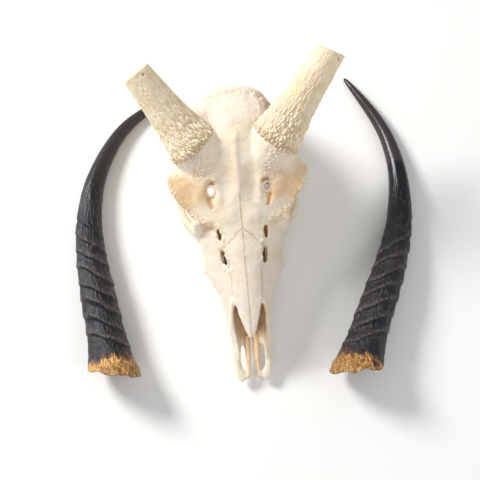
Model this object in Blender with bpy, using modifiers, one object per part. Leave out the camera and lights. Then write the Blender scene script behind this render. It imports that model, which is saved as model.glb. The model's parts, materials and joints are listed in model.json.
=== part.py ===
"""A reedbuck skull with sawn horn cores, lying on its cheek teeth, and its two loose horn sheaths.

Sizes below are in millimetres, and the meshes are in metres, +Z up.  The skull is modelled in its
own frame: X to its left and right, Y from the muzzle back along the straight line of the face, and
Z out of the face.  An empty then tips that frame onto the floor.
"""
import math

import bmesh
import bpy
import numpy as np
from mathutils import Matrix, Vector

MM = 0.001
GAP = 0.3
FLOOR_FLAT = 0.35

# Driving sizes of the skull, along the face from the tips of the muzzle at 0
FACE_SLOPE = math.radians(18.0)
NASAL_TIP = 40.0
NOTCH = 75.0
NASION = 137.0
CORONAL = 229.0
ORBIT_AT = 166.0
ORBIT_DEEP = -27.0
FORAMEN = (25.0, 172.5)
SKIN_VOXEL = 1.0
SKULL_TRIANGLES = 6200
SCRAP_FACES = 40

# Horn cores: where their middle lines leave the forehead and end, right (1) and left (-1), how far
# the saw cut is turned off square, and their thickness
CORE_BASE = (37.0, 214.5, -1.0)
CORE_SKIRT = (40.0, 200.0, 18.0)
CORE_ENDS = {1: (89.3, 284.2, 19.0), -1: (80.5, 278.9, 19.0)}
SAW_TURNS = {1: math.radians(9.0), -1: 0.0}
CORE_BASE_WIDTH = 45.0
CORE_BASE_DEPTH = 39.0
CORE_END_WIDTH = 26.5
CORE_END_DEPTH = 24.5
CORE_BEND = 2.5
CORE_CLEARANCE = 1.2

# Cheek teeth: three premolars and three molars a side, as lengths and widths along the row
TOOTH_LENGTHS = (7.5, 9.0, 9.5, 13.0, 14.5, 15.5)
TOOTH_WIDTHS = (7.0, 9.0, 10.5, 12.5, 13.5, 12.0)
ROW_START = (22.0, 89.0, -43.0)
ROW_END = (26.5, 161.0, -66.0)
CROWN_FRONT = 8.5
CROWN_BACK = 13.3

# Horn sheaths: middle lines on the floor, right (1) and left (-1), from the open base to the tip, and
# the outer width at distances from the base
SHEATH_LINES = {
    1: ((91.0, 4.1), (111.5, 51.0), (133.5, 98.0), (148.5, 140.0), (155.0, 187.0), (151.5, 225.0),
        (140.5, 257.0), (117.8, 299.9)),
    -1: ((-124.9, 21.4), (-130.6, 62.0), (-135.8, 98.0), (-140.2, 135.0), (-140.6, 170.0),
         (-134.5, 206.0), (-119.9, 239.9), (-98.0, 268.5), (-57.0, 297.5))}
SHEATH_WIDTHS = ((0, 46), (6, 42), (17, 37.5), (38, 32.5), (59, 31.5), (79, 30.5), (101, 28), (123, 25.5),
                 (145, 23), (166, 20.8), (188, 18), (211, 15.4), (234, 13), (262, 10.2), (290, 6.8),
                 (306, 4.2), (317, 1.6))
SHEATH_WALL = 3.2
SHEATH_HOLLOW = 165.0
RINGS_FROM = 28.0
RING_PITCH = 15.8
RING_COUNT = 8
RING_RISE = 1.6
# How far rings and base lean along the horn across its width, and how far its top edge overhangs
RING_SLANTS = {1: 9.5, -1: 7.5}
BASE_OVERHANG = 6.0
RING_EDGE = 0.22
TIP_TAPER = 60.0
SHEATH_HEIGHT = 0.97
SHEATH_SIDES = 16
THINNEST = 0.8
PATH_STEPS = 160

BONE = (0.80, 0.74, 0.62)
BONE_WARM = (0.76, 0.62, 0.42)
HORN = (0.025, 0.023, 0.026)

for old in list(bpy.data.objects):
    bpy.data.objects.remove(old, do_unlink=True)


def collection(name):
    found = bpy.data.collections.new(name)
    bpy.context.scene.collection.children.link(found)
    return found


PARTS = collection("reedbuck_skull")
WORK = collection("working_shapes")
CUTTERS = collection("cutters")


def material(name, colour, roughness):
    made = bpy.data.materials.new(name)
    made.use_nodes = True
    shader = made.node_tree.nodes["Principled BSDF"]
    shader.inputs["Base Color"].default_value = (*colour, 1.0)
    shader.inputs["Roughness"].default_value = roughness
    shader.inputs["Metallic"].default_value = 0.0
    return made


def spline(rows, count):
    """Catmull-Rom curve through rows of any width, as count rows evenly spread by row number."""
    rows = np.asarray(rows, float)
    padded = np.vstack([2 * rows[0] - rows[1], rows, 2 * rows[-1] - rows[-2]])
    out = []
    for place in np.linspace(0.0, len(rows) - 1.0, count):
        k = min(int(place), len(rows) - 2)
        u = place - k
        a, b, c, d = padded[k:k + 4]
        out.append(0.5 * (2 * b + (c - a) * u + (2 * a - 5 * b + 4 * c - d) * u ** 2
                          + (3 * b - a - 3 * c + d) * u ** 3))
    return np.array(out)


def mesh_object(name, points, faces, into):
    mesh = bpy.data.meshes.new(name)
    mesh.from_pydata([Vector(p) * MM for p in points], [], faces)
    made = bpy.data.objects.new(name, mesh)
    into.objects.link(made)
    shell = bmesh.new()
    shell.from_mesh(mesh)
    bmesh.ops.recalc_face_normals(shell, faces=shell.faces)
    shell.to_mesh(mesh)
    shell.free()
    return made


def loft(name, rings, into=WORK):
    """Skin over rings of the same count of points, closed at both ends by a fan."""
    count = len(rings[0])
    points = [tuple(p) for ring in rings for p in ring]
    faces = []
    for r in range(len(rings) - 1):
        for k in range(count):
            a = r * count + k
            b = r * count + (k + 1) % count
            faces.append((a, b, b + count))
            faces.append((a, b + count, a + count))
    for r in (0, len(rings) - 1):
        centre = len(points)
        points.append(tuple(np.mean(np.asarray(rings[r], float), axis=0)))
        for k in range(count):
            faces.append((centre, r * count + k, r * count + (k + 1) % count))
    return mesh_object(name, points, faces, into)


def body_point(station, angle):
    """Place on the outside at a station of (y, half width, top, widest, bottom, top and bottom power)."""
    y, half, top, wide, bottom, power_up, power_down = station
    across, up = math.cos(angle), math.sin(angle)
    power = power_up if up > 0 else power_down
    reach = top - wide if up > 0 else wide - bottom
    x = half * math.copysign(abs(across) ** power, across)
    return x, y, wide + reach * math.copysign(abs(up) ** power, up)


def body_loft(name, stations, sides=32, count=24, into=WORK):
    """Loft along the skull over stations of the kind that body_point takes."""
    angles = [2 * math.pi * (k + 0.5) / sides for k in range(sides)]
    rings = [[body_point(station, angle) for angle in angles] for station in spline(stations, count)]
    return loft(name, rings, into)


def ridge_path(stations, places, thick):
    """Rows for a tube that follows a body's outside through places of (y, degrees up from its side)."""
    fine = spline(stations, 120)
    rows = []
    for y, degrees in places:
        station = [float(np.interp(y, fine[:, 0], fine[:, k])) for k in range(fine.shape[1])]
        rows.append([*body_point(station, math.radians(degrees)), thick, thick])
    return rows


def tube(name, path, sides=12, count=18, into=WORK, up=(0, 0, 1)):
    """Bent tube: path rows of (x, y, z, half thickness sideways, half thickness upwards)."""
    rows = spline(path, count)
    rings = []
    for k, row in enumerate(rows):
        ahead = Vector(rows[min(k + 1, count - 1)][:3] - rows[max(k - 1, 0)][:3]).normalized()
        side = ahead.cross(Vector(up)).normalized()
        rise = side.cross(ahead)
        centre = Vector(row[:3])
        ring = []
        for s in range(sides):
            angle = 2 * math.pi * s / sides
            ring.append(centre + side * (row[3] * math.cos(angle)) + rise * (row[4] * math.sin(angle)))
        rings.append(ring)
    return loft(name, rings, into)


def ellipsoid(name, centre, radii, into=WORK, sides=20):
    mesh = bpy.data.meshes.new(name)
    ball = bmesh.new()
    bmesh.ops.create_uvsphere(ball, u_segments=sides, v_segments=sides // 2, radius=MM)
    bmesh.ops.scale(ball, vec=radii, verts=ball.verts)
    bmesh.ops.translate(ball, vec=Vector(centre) * MM, verts=ball.verts)
    ball.to_mesh(mesh)
    ball.free()
    made = bpy.data.objects.new(name, mesh)
    into.objects.link(made)
    return made


def both(maker, name, rows, **kinds):
    """Make a piece on the right, at +X, and its twin on the left."""
    rows = [list(r) for r in rows]
    right = maker(name + "_right", rows, **kinds)
    left = maker(name + "_left", [[-r[0]] + r[1:] for r in rows], **kinds)
    return right, left


def apply_modifiers(piece):
    depsgraph = bpy.context.evaluated_depsgraph_get()
    mesh = bpy.data.meshes.new_from_object(piece.evaluated_get(depsgraph))
    piece.modifiers.clear()
    piece.data = mesh
    return piece


def combine(piece, group, operation, solver="EXACT"):
    """Apply one Boolean of a whole collection on a piece, and remove the collection's objects."""
    change = piece.modifiers.new("combine", "BOOLEAN")
    change.operand_type = "COLLECTION"
    change.collection = group
    change.operation = operation
    change.solver = solver
    apply_modifiers(piece)
    for used in list(group.objects):
        bpy.data.objects.remove(used, do_unlink=True)
    return piece


def islands(piece):
    """The loose closed surfaces of a piece, as lists of point places and faces."""
    shell = bmesh.new()
    shell.from_mesh(piece.data)
    unseen = set(shell.verts)
    found = []
    while unseen:
        seed = unseen.pop()
        group, queue = {seed}, [seed]
        while queue:
            for edge in queue.pop().link_edges:
                for vert in edge.verts:
                    if vert in unseen:
                        unseen.discard(vert)
                        group.add(vert)
                        queue.append(vert)
        order = sorted(group, key=lambda v: v.index)
        index = {v: i for i, v in enumerate(order)}
        faces = sorted({f for v in order for f in v.link_faces}, key=lambda f: f.index)
        found.append(([v.co.copy() / MM for v in order], [[index[v] for v in f.verts] for f in faces]))
    shell.free()
    return found


def largest(piece):
    """Keep only the largest closed surface of a piece."""
    points, faces = max(islands(piece), key=lambda i: len(i[1]))
    name = piece.name
    old = piece.data
    mesh = bpy.data.meshes.new(name)
    mesh.from_pydata([p * MM for p in points], [], faces)
    piece.data = mesh
    bpy.data.meshes.remove(old)
    return piece

# The skull as one body: lofts along its length

def face_body():
    return body_loft("face", [
        (20.0, 15.5, -13.0, -19.0, -24.5, 0.8, 0.7),
        (40.0, 17.5, -8.0, -20.0, -29.0, 0.9, 0.7),
        (60.0, 20.5, -3.0, -24.0, -35.0, 1.0, 0.7),
        (80.0, 26.0, 0.0, -30.0, -43.0, 1.05, 0.65),
        (95.0, 33.0, 0.5, -36.0, -48.0, 1.1, 0.6),
        (104.0, 35.5, 0.5, -38.0, -51.0, 1.1, 0.6),
        (118.0, 36.5, 0.5, -36.0, -55.0, 1.0, 0.6),
        (132.0, 38.5, 1.0, -36.0, -59.0, 0.85, 0.6),
        (146.0, 37.0, 1.5, -42.0, -62.0, 0.75, 0.6),
        (162.0, 28.0, 0.0, -52.0, -65.0, 0.8, 0.7)], count=34)


def forehead():
    """Broad arched plate of the frontals, out to the eye rims."""
    stations = [(122.0, 18.0, -2.0, 4.0, 5.0, 4.0),
                (132.0, 29.0, 0.0, 9.0, 8.0, 5.0),
                (141.0, 38.5, 1.5, 11.0, 10.0, 5.5),
                (150.0, 42.5, 2.5, 9.5, 11.0, 5.5),
                (160.0, 49.0, 3.5, 9.5, 12.0, 5.5),
                (170.0, 57.0, 5.0, 10.0, 13.0, 5.5),
                (180.0, 61.5, 6.5, 11.5, 14.0, 6.0),
                (188.0, 61.5, 7.5, 12.5, 15.0, 6.5),
                (196.0, 56.0, 8.0, 14.0, 16.0, 7.0),
                (206.0, 46.0, 8.5, 15.0, 17.0, 9.0),
                (218.0, 36.0, 8.5, 14.0, 18.0, 12.0),
                (233.0, 22.0, 5.0, 9.0, 18.0, 14.0)]
    rings = []
    across = 12
    for y, half, crown, drop, middle, rim in spline(stations, 36):
        top, under = [], []
        for k in range(across + 1):
            u = 1.0 - 2.0 * k / across
            z = crown - drop * abs(u) ** 2.0
            thick = middle + (rim - middle) * u * u
            top.append((half * u, y, z))
            under.append((half * u * (0.96 if k in (0, across) else 1.0), y, z - thick))
        rings.append(top + under[::-1])
    return loft("forehead", rings)


BRAINCASE = (
    (186.0, 15.0, 0.0, -35.0, -66.0, 0.9, 0.8),
    (198.0, 22.0, 5.0, -38.0, -70.0, 0.9, 0.8),
    (212.0, 30.0, 7.5, -38.0, -76.0, 0.85, 0.85),
    (227.0, 35.0, 7.0, -38.0, -80.0, 0.85, 0.85),
    (240.0, 37.0, 0.0, -40.0, -82.0, 0.85, 0.8),
    (251.0, 35.5, -10.5, -43.0, -83.0, 0.85, 0.75),
    (260.0, 31.0, -21.0, -47.0, -82.0, 0.85, 0.75),
    (266.0, 25.0, -31.0, -53.0, -78.0, 0.85, 0.8),
    (269.0, 18.0, -39.0, -56.0, -72.0, 0.9, 0.9))
NAPE_CREST = ((262.0, 90), (261.0, 72), (257.5, 52), (251.5, 32), (244.5, 12), (238.0, -8), (233.0, -28))
TEMPLE_LINE = ((231.0, 54), (241.0, 51), (250.0, 52), (257.5, 56))


def braincase():
    body_loft("braincase", BRAINCASE, count=34)
    both(tube, "nape_crest", ridge_path(BRAINCASE, NAPE_CREST, 2.4), count=18)
    both(tube, "temple_line", ridge_path(BRAINCASE, TEMPLE_LINE, 1.3), count=12)


def middle_column():
    """Narrow bone between the eye sockets, from the nose back to the braincase."""
    return body_loft("middle", [
        (138.0, 15.0, 0.0, -25.0, -60.0, 0.7, 0.8),
        (160.0, 13.0, 0.0, -20.0, -64.0, 0.7, 0.9),
        (178.0, 13.0, 0.0, -20.0, -66.0, 0.7, 0.9),
        (200.0, 17.0, 0.0, -25.0, -72.0, 0.8, 0.9)], count=14, sides=24)


def skull_details():
    both(tube, "cheek_arch", [(33, 128, -40, 5, 13), (43, 140, -45, 4.5, 11), (51.5, 153, -48, 3.4, 8.5),
                              (54, 169, -48, 2.8, 7), (52.5, 186, -45, 2.8, 7), (46, 203, -43, 3, 6),
                              (35, 217, -45, 6, 8)], count=26)
    both(tube, "eye_rim_front", [(40, 148, -6, 4, 5), (37.5, 141, -18, 5, 5.5),
                                 (39, 139, -31, 5, 6), (45, 143, -45, 3.5, 5)], up=(0, 1, 0))
    both(tube, "post_orbital_bar", [(57.5, 189, -6, 3, 6), (57, 189.5, -20, 2.6, 5.0),
                                    (54.5, 187, -34, 2.6, 5.0), (52, 184, -46, 3, 6)], up=(0, 1, 0))
    both(tube, "cheek_tuber", [(31, 101, -35, 5, 5), (35.6, 101.5, -37.5, 2.8, 3),
                               (38.0, 101.5, -38.6, 1.0, 1.3)], count=6)
    both(tube, "jaw_base", [(20, 74, -34, 3, 4), (23.5, 88, -39, 5.5, 6.5), (27.0, 105, -45, 7.5, 9),
                            (28.5, 125, -53, 8, 10),
                            (28.5, 145, -60, 8, 10), (26, 163, -64, 6, 8)], sides=14)
    both(tube, "wing_plate", [(13, 150, -58, 2.2, 6), (12.5, 168, -66, 2, 10), (12, 186, -70, 2, 10),
                              (11, 202, -74, 2.5, 6)], count=12)
    both(tube, "ear_bulla", [(17, 222, -80, 4, 4), (17, 230, -85, 7, 8), (17, 240, -87, 7, 8),
                             (19, 248, -82, 5, 6)], count=10)
    both(tube, "side_process", [(25, 256, -66, 6, 6), (25.5, 255, -82, 4, 6.5), (24.5, 252, -95, 2.8, 5.5),
                                (23.5, 250.5, -108, 2.2, 3.6)], up=(0, 1, 0))
    both(tube, "neck_joint", [(7.5, 255, -84, 4, 4), (12, 263, -81, 6, 7), (15, 268, -74, 5, 7),
                              (14, 266, -65, 4, 5)], count=12, up=(1, 0, 0))
    both(tube, "ear_tube", [(27, 231, -64, 5, 5), (34.5, 232, -62.5, 4.4, 4.4), (37.0, 232.5, -62, 3.9, 3.9)],
         count=6)
    tube("skull_base", [(0, 196, -70, 9, 5), (0, 215, -78, 8, 5), (0, 235, -83, 9, 4.5),
                        (0, 254, -84, 11, 4)], count=12)


def muzzle_branches():
    both(tube, "muzzle_branch", [(8.5, 1.6, -18.5, 4.2, 2.2), (11.0, 5.5, -19.3, 5.0, 2.9),
                                 (13.0, 12.0, -19.6, 3.6, 3.3), (14.2, 22, -19.3, 2.9, 3.6),
                                 (14.8, 34, -19.5, 3.1, 4.6), (16.2, 48, -17.5, 2.9, 6.0),
                                 (15.6, 62, -12.5, 2.2, 6.0), (13.6, 76, -6.0, 2.2, 4.0)], count=26)


def muzzle_rods():
    both(tube, "muzzle_rod", [(5.2, 3.5, -18.8, 2.0, 1.6), (4.2, 12, -18.4, 1.4, 1.6),
                              (3.9, 26, -18.8, 1.5, 2.0), (3.9, 42, -21.5, 2.2, 3.4)], count=14)


def nasal_bones():
    """Two vaulted plates ending in one point over the nose opening."""
    stations = [(NASAL_TIP, 1.4, -0.6, 0.2, 2.4),
                (NASAL_TIP + 5, 3.9, 0.0, 0.6, 2.8),
                (NASAL_TIP + 18, 8.2, 0.6, 1.8, 3.0),
                (NOTCH, 12.0, 1.0, 2.8, 3.4),
                (95.0, 13.0, 1.2, 3.0, 4.0),
                (118.0, 17.0, 1.2, 3.2, 5.0),
                (NASION, 17.0, 1.4, 3.0, 6.0)]
    rings = []
    across = 8
    for y, half, crown, drop, thick in spline(stations, 26):
        top = [(half * u, y, crown - drop * u * u) for u in np.linspace(1, -1, across + 1)]
        rings.append(top + [(x, y, z - thick) for x, y, z in top[::-1]])
    return loft("nasals", rings)


# Horn cores

def core_path(side, grow=0.0):
    """Middle line of a core from inside the forehead past the saw cut, with its half thicknesses."""
    start, end = Vector(CORE_BASE), Vector(CORE_ENDS[side])
    rows = []
    for share, wide, deep in ((-0.30, 19.0, 15.0), (0.0, CORE_BASE_WIDTH / 2, CORE_BASE_DEPTH / 2),
                              (0.27, 18.4, 17.0), (0.6, 15.6, 14.6),
                              (1.0, CORE_END_WIDTH / 2, CORE_END_DEPTH / 2),
                              (1.12, CORE_END_WIDTH / 2 - 0.8, CORE_END_DEPTH / 2 - 0.8)):
        place = start.lerp(end, share)
        bend = CORE_BEND * math.sin(math.pi * min(max(share, 0.0), 1.0))
        rows.append((side * place.x, place.y, place.z - bend, wide + grow, deep + grow))
    return rows


def core_plane(side):
    """Where the core leaves the forehead: a point, and the slanting plane's direction along the core."""
    place = Vector(CORE_BASE)
    across = Vector((0.78, -0.63, 0.0))
    down = Vector(CORE_SKIRT) - place
    facing = across.cross(down).normalized()
    if facing.y < 0:
        facing = -facing
    return Vector((side * place.x, place.y, place.z)), Vector((side * facing.x, facing.y, facing.z))


def half_space(name, place, facing, size=900.0, deep=400.0, into=CUTTERS):
    """Block that fills the side of a plane that its direction points to."""
    turn = facing.to_track_quat("Z", "Y").to_matrix()
    corners = []
    for z in (0.0, deep):
        for x, y in ((-1, -1), (1, -1), (1, 1), (-1, 1)):
            corners.append(place + turn @ Vector((x * size / 2, y * size / 2, z)))
    faces = [(0, 1, 2, 3), (4, 5, 6, 7), (0, 1, 5, 4), (1, 2, 6, 5), (2, 3, 7, 6), (3, 0, 4, 7)]
    return mesh_object(name, corners, faces, into)


def trimmed(piece, into, *spaces):
    """Cut a piece by half spaces, each given as a point and the direction that is cut away."""
    mould = collection("trim")
    for place, facing in spaces:
        half_space("space", place, facing, into=mould)
    for holder in list(piece.users_collection):
        holder.objects.unlink(piece)
    bpy.context.scene.collection.objects.link(piece)
    combine(piece, mould, "DIFFERENCE")
    bpy.data.collections.remove(mould)
    bpy.context.scene.collection.objects.unlink(piece)
    into.objects.link(piece)
    return piece


def saw_plane(side):
    """The saw cut across a core: a point and the direction out of the cut."""
    end = Vector(CORE_ENDS[side])
    out = Matrix.Rotation(SAW_TURNS[side], 3, "Z") @ (end - Vector(CORE_BASE)).normalized()
    return Vector((side * end.x, end.y, end.z)), Vector((side * out.x, out.y, out.z))


def core_piece(name, side, grow, lift, into, sides=18, count=12):
    """The core above its base plane, made larger by grow and cut lift above that plane."""
    place, facing = core_plane(side)
    piece = tube(name, core_path(side, grow), sides=sides, count=count)
    return trimmed(piece, into, (place + facing * lift, -facing), saw_plane(side))


def core_stump(side):
    """The part of the core's root that stays with the forehead."""
    place, facing = core_plane(side)
    piece = tube("stump", core_path(side), sides=18)
    return trimmed(piece, WORK, (place + facing * 1.5, facing))


def core_clearance(side):
    """Slab that clears the forehead just above the core's base plane."""
    place, facing = core_plane(side)
    piece = tube("clearance", core_path(side, CORE_CLEARANCE), sides=20)
    return trimmed(piece, CUTTERS, (place - facing * (GAP / 2), -facing), (place + facing * 5.0, facing))


# What is open in it

def nose_hollow():
    return body_loft("nose_hollow", [
        (16.0, 10.5, 14.0, -10.0, -15.0, 0.45, 0.6),
        (36.0, 12.4, 14.0, -12.0, -19.5, 0.45, 0.6),
        (50.0, 13.6, 14.0, -15.0, -25.0, 0.45, 0.6),
        (64.0, 14.2, 6.0, -18.0, -30.0, 0.7, 0.6),
        (76.0, 16.5, -2.8, -22.0, -34.0, 0.9, 0.6),
        (95.0, 20.5, -3.6, -26.0, -38.5, 0.9, 0.6),
        (118.0, 21.5, -4.2, -27.0, -42.0, 0.8, 0.6),
        (136.0, 18.5, -7.0, -27.0, -43.0, 0.8, 0.6),
        (146.0, 12.0, -12.0, -27.0, -40.0, 0.8, 0.7)], count=34, sides=28, into=CUTTERS)


def eye_sockets():
    for side in (1, -1):
        ellipsoid("socket", (side * 52, ORBIT_AT, ORBIT_DEEP), (32, 21.5, 18.5), CUTTERS, sides=28)
        ellipsoid("socket_deep", (side * 31, ORBIT_AT + 8, ORBIT_DEEP - 8), (16, 17, 20), CUTTERS, sides=24)


def prism(name, outline, low, high, into=CUTTERS):
    """Upright prism over a closed outline of (x, y) corners."""
    count = len(outline)
    points = [(x, y, low) for x, y in outline] + [(x, y, high) for x, y in outline]
    faces = [tuple(range(count)), tuple(range(count, 2 * count))]
    for k in range(count):
        j = (k + 1) % count
        faces.append((k, j, count + j, count + k))
    return mesh_object(name, points, faces, into)


def oval(centre, across, along, turn=0.0, sides=16):
    out = []
    for k in range(sides):
        a = 2 * math.pi * k / sides
        x, y = across * math.cos(a), along * math.sin(a)
        out.append((centre[0] + x * math.cos(turn) - y * math.sin(turn),
                    centre[1] + x * math.sin(turn) + y * math.cos(turn)))
    return out


def skull_body():
    """Everything of the skull but its cores and teeth, as one smooth closed surface."""
    whole = face_body()
    WORK.objects.unlink(whole)
    bpy.context.scene.collection.objects.link(whole)
    forehead()
    braincase()
    middle_column()
    skull_details()
    for side in (1, -1):
        core_stump(side)
    combine(whole, WORK, "UNION")
    nose_hollow()
    eye_sockets()
    combine(whole, CUTTERS, "DIFFERENCE")
    muzzle_branches()
    muzzle_rods()
    nasal_bones()
    combine(whole, WORK, "UNION")
    prism("muzzle_slot", oval((0.0, 22.0), 2.3, 24.0), -40, -7)
    for side in (1, -1):
        tube("ear_hole", [(side * 30, 231.5, -63.5, 2.0, 2.0), (side * 40, 233, -61.5, 2.6, 2.6)], count=4,
             into=CUTTERS)
        prism("incisive", oval((side * 8.4, 22.5), 2.9, 12.0), -40, 12)
        prism("foramen", oval((side * FORAMEN[0], FORAMEN[1]), 3.3, 4.3), -60, 20)
        prism("fissure_back", oval((side * 20.6, 134.0), 1.9, 6.5, side * -0.12), -12, 14)
        prism("fissure_front", oval((side * 18.2, 113.0), 2.1, 8.5, side * -0.12), -12, 14)
    tube("choana", [(0, 232, -64, 7.5, 6), (0, 205, -72, 8.5, 9), (0, 182, -74, 9.5, 10), (0, 164, -70, 9, 9),
                    (0, 152, -66, 6, 6)], count=12, into=CUTTERS)
    tube("foramen_magnum", [(0, 252, -68, 7, 7), (0, 262, -69, 9, 9), (0, 276, -71, 11, 11)], count=6,
         into=CUTTERS)
    tube("palate_vault", [(0, 66, -40, 6, 4), (0, 90, -54, 11, 8), (0, 125, -65, 16, 10), (0, 168, -75, 16, 11)],
         count=12, into=CUTTERS)
    combine(whole, CUTTERS, "DIFFERENCE")
    remesh = whole.modifiers.new("even_skin", "REMESH")
    remesh.mode = "VOXEL"
    remesh.voxel_size = SKIN_VOXEL * MM
    smooth = whole.modifiers.new("soften", "SMOOTH")
    smooth.factor = 0.5
    smooth.iterations = 6
    apply_modifiers(whole)
    thin = whole.modifiers.new("fewer_faces", "DECIMATE")
    thin.ratio = SKULL_TRIANGLES / (2.0 * len(whole.data.polygons))
    thin.use_collapse_triangulate = True
    apply_modifiers(whole)
    return whole


# The seams between the bones

def wall(path, low, high, kind):
    """Thin cutter as thick as the gap along a bent path: kind 'plan' takes (x, y) points and reaches
    from low to high in z, kind 'side' takes (y, z) points and reaches from low to high in x."""
    points = [Vector(p) for p in path]
    offsets = []
    for k, here in enumerate(points):
        before = (here - points[k - 1]).normalized() if k else None
        after = (points[k + 1] - here).normalized() if k + 1 < len(points) else None
        ahead = ((before or after) + (after or before)).normalized()
        normal = Vector((-ahead.y, ahead.x))
        stretch = 1.0 / max(0.3, abs(ahead.dot(after or before)))
        offsets.append(normal * (GAP / 2) * stretch)
    outline = [p + o for p, o in zip(points, offsets)] + [p - o for p, o in zip(points, offsets)][::-1]
    count = len(outline)

    def corner(p, reach):
        return (p.x, p.y, reach) if kind == "plan" else (reach, p.x, p.y)

    corners = [corner(p, low) for p in outline] + [corner(p, high) for p in outline]
    faces = []
    half = len(points)
    for k in range(half - 1):
        a, b, c, d = k, k + 1, count - 2 - k, count - 1 - k
        faces.append((a, b, c, d))
        faces.append((count + a, count + b, count + c, count + d))
    for k in range(count):
        j = (k + 1) % count
        faces.append((k, j, count + j, count + k))
    return mesh_object("seam", corners, faces, CUTTERS)


def plan_wall(side, points, low, high):
    """Seam over (x, y) points given for the right, on either side."""
    wall([(side * x, y) for x, y in points], low, high, "plan")


def flank_wall(side, points, near, far):
    """Seam over (y, z) points from near to far of the middle, on either side."""
    wall(points, min(side * near, side * far), max(side * near, side * far), "side")


def seams():
    wall([(CORONAL, 40), (CORONAL, -24), (198, -24), (186, -14), (168, -13), (118, -13)], -95, 95, "side")
    wall([(149, -12), (147.5, -50), (166, -56), (170, -95)], -20.2, 20.2, "side")
    wall([(0, -8), (0, 173)], -100, 40, "plan")
    wall([(0, 145), (0, 192)], -15.5, 40, "plan")
    wall([(0, 183), (0, CORONAL + 1)], -25.5, 40, "plan")
    for side in (1, -1):
        plan_wall(side, [(12.7, 66), (12.7, 78), (13.6, 95), (17.0, 117), (17.2, 124), (11, 127.5), (6, 126.5),
              (-0.5, 138)], -14, 40)
        plan_wall(side, [(16.8, 119), (20.6, 126), (20.8, 138), (30, 144.5), (52, 150)], -14, 40)
        plan_wall(side, [(20.2, 116), (20.2, 172)], -57, -12.5)
        flank_wall(side, [(122, 40), (121, -28), (131.3, -52.4)], 20, 60)
        flank_wall(side, [(122, 40), (122, -13.5)], 17.6, 24)
        flank_wall(side, [(130.5, -51), (150, -53), (172, -55)], 20, 37.6)
        flank_wall(side, [(131, -51), (131, -80)], 37.4, 70)
        plan_wall(side, [(37.5, 130.8), (37.5, 175)], -78, -51)
        flank_wall(side, [(92, 12), (80, -7), (50, -16.5)], 12.6, 34)
        flank_wall(side, [(56, -13.5), (38, -22), (36, -44)], -0.5, 34)
        plan_wall(side, [(30, 203), (75, 203)], -64, -26)
        core_piece("core_room", side, GAP, -GAP / 2, CUTTERS)
        core_clearance(side)


NODES = {
    "braincase": (0, 247, -6),
    "frontal_right": (20, 190, 8),
    "cheek_right": (54, 166, -49),
    "maxilla_right": (36, 106, -46),
    "nasal_right": (7, 90, 1),
    "premaxilla_right": (12, 6, -19),
}


def split_skull(whole):
    """Cut the body along its seams and give each bone its name."""
    seams()
    combine(whole, CUTTERS, "DIFFERENCE")
    loose = islands(whole)
    bpy.data.objects.remove(whole, do_unlink=True)
    names = dict(NODES)
    for name, (x, y, z) in NODES.items():
        if name.endswith("_right"):
            names[name.replace("_right", "_left")] = (-x, y, z)
    large = [piece for piece in loose if len(piece[1]) > SCRAP_FACES]
    bones = {}
    for name, probe in names.items():
        reach = [min((p - Vector(probe)).length for p in points) for points, faces in large]
        points, faces = large[reach.index(min(reach))]
        bones[name] = mesh_object(name, points, faces, PARTS)
    return bones


# Cheek teeth

def tooth_row(side):
    """Six cheek teeth as columns with their roots sunk in the jaw: one lobe on a premolar, two on a molar."""
    start, end = Vector(ROW_START), Vector(ROW_END)
    length = (end - start).length
    spare = length - sum(TOOTH_LENGTHS)
    along = (end - start).normalized()
    down = Vector((0.0, -math.sin(FACE_SLOPE), -math.cos(FACE_SLOPE)))
    place = 0.0
    for k, (tooth, width) in enumerate(zip(TOOTH_LENGTHS, TOOTH_WIDTHS)):
        lobes = 1 if k < 3 else 2
        for lobe in range(lobes):
            middle = start + along * (place + tooth * (lobe + 0.5) / lobes)
            drop = CROWN_FRONT + (CROWN_BACK - CROWN_FRONT) * (place + tooth / 2) / length
            rings = []
            for level, swell in ((-5.0, 0.80), (drop - 1.5, 1.0), (drop, 0.86)):
                centre = middle + down * level
                ring = []
                for s in range(8):
                    angle = 2 * math.pi * (s + 0.5) / 8
                    out = 1.0 + 0.10 * math.cos(2 * angle)
                    across = math.cos(angle) * width / 2 * swell * out
                    ahead = math.sin(angle) * tooth / lobes * 0.56 * swell
                    ring.append((side * (centre.x + across), centre.y + along.y * ahead,
                                 centre.z + along.z * ahead))
                rings.append(ring)
            loft("tooth", rings)
        place += tooth + spare / (len(TOOTH_LENGTHS) - 1)


# Horn sheaths

def sheath_path(side):
    """Middle line of a sheath as rows of (distance from the base, x, y)."""
    line = spline(SHEATH_LINES[side], PATH_STEPS)
    steps = np.linalg.norm(np.diff(line, axis=0), axis=1)
    return np.column_stack([np.concatenate([[0.0], np.cumsum(steps)]), line])


def sheath_centre(rows, s):
    """Place on the middle line and the heading there, carried straight on before the base."""
    inside = min(max(s, 0.0), rows[-1, 0] - 1.0)
    x, y = (float(np.interp(inside, rows[:, 0], rows[:, k])) for k in (1, 2))
    ahead_x, ahead_y = (float(np.interp(inside + 1.0, rows[:, 0], rows[:, k])) for k in (1, 2))
    turn = math.atan2(ahead_x - x, ahead_y - y)
    return x + (s - inside) * math.sin(turn), y + (s - inside) * math.cos(turn), turn


def sheath_radius(share):
    """Outer radius at a share of the sheath's length, without its rings."""
    length = SHEATH_WIDTHS[-1][0]
    return float(np.interp(share * length, [r[0] for r in SHEATH_WIDTHS], [r[1] / 2 for r in SHEATH_WIDTHS]))


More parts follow.
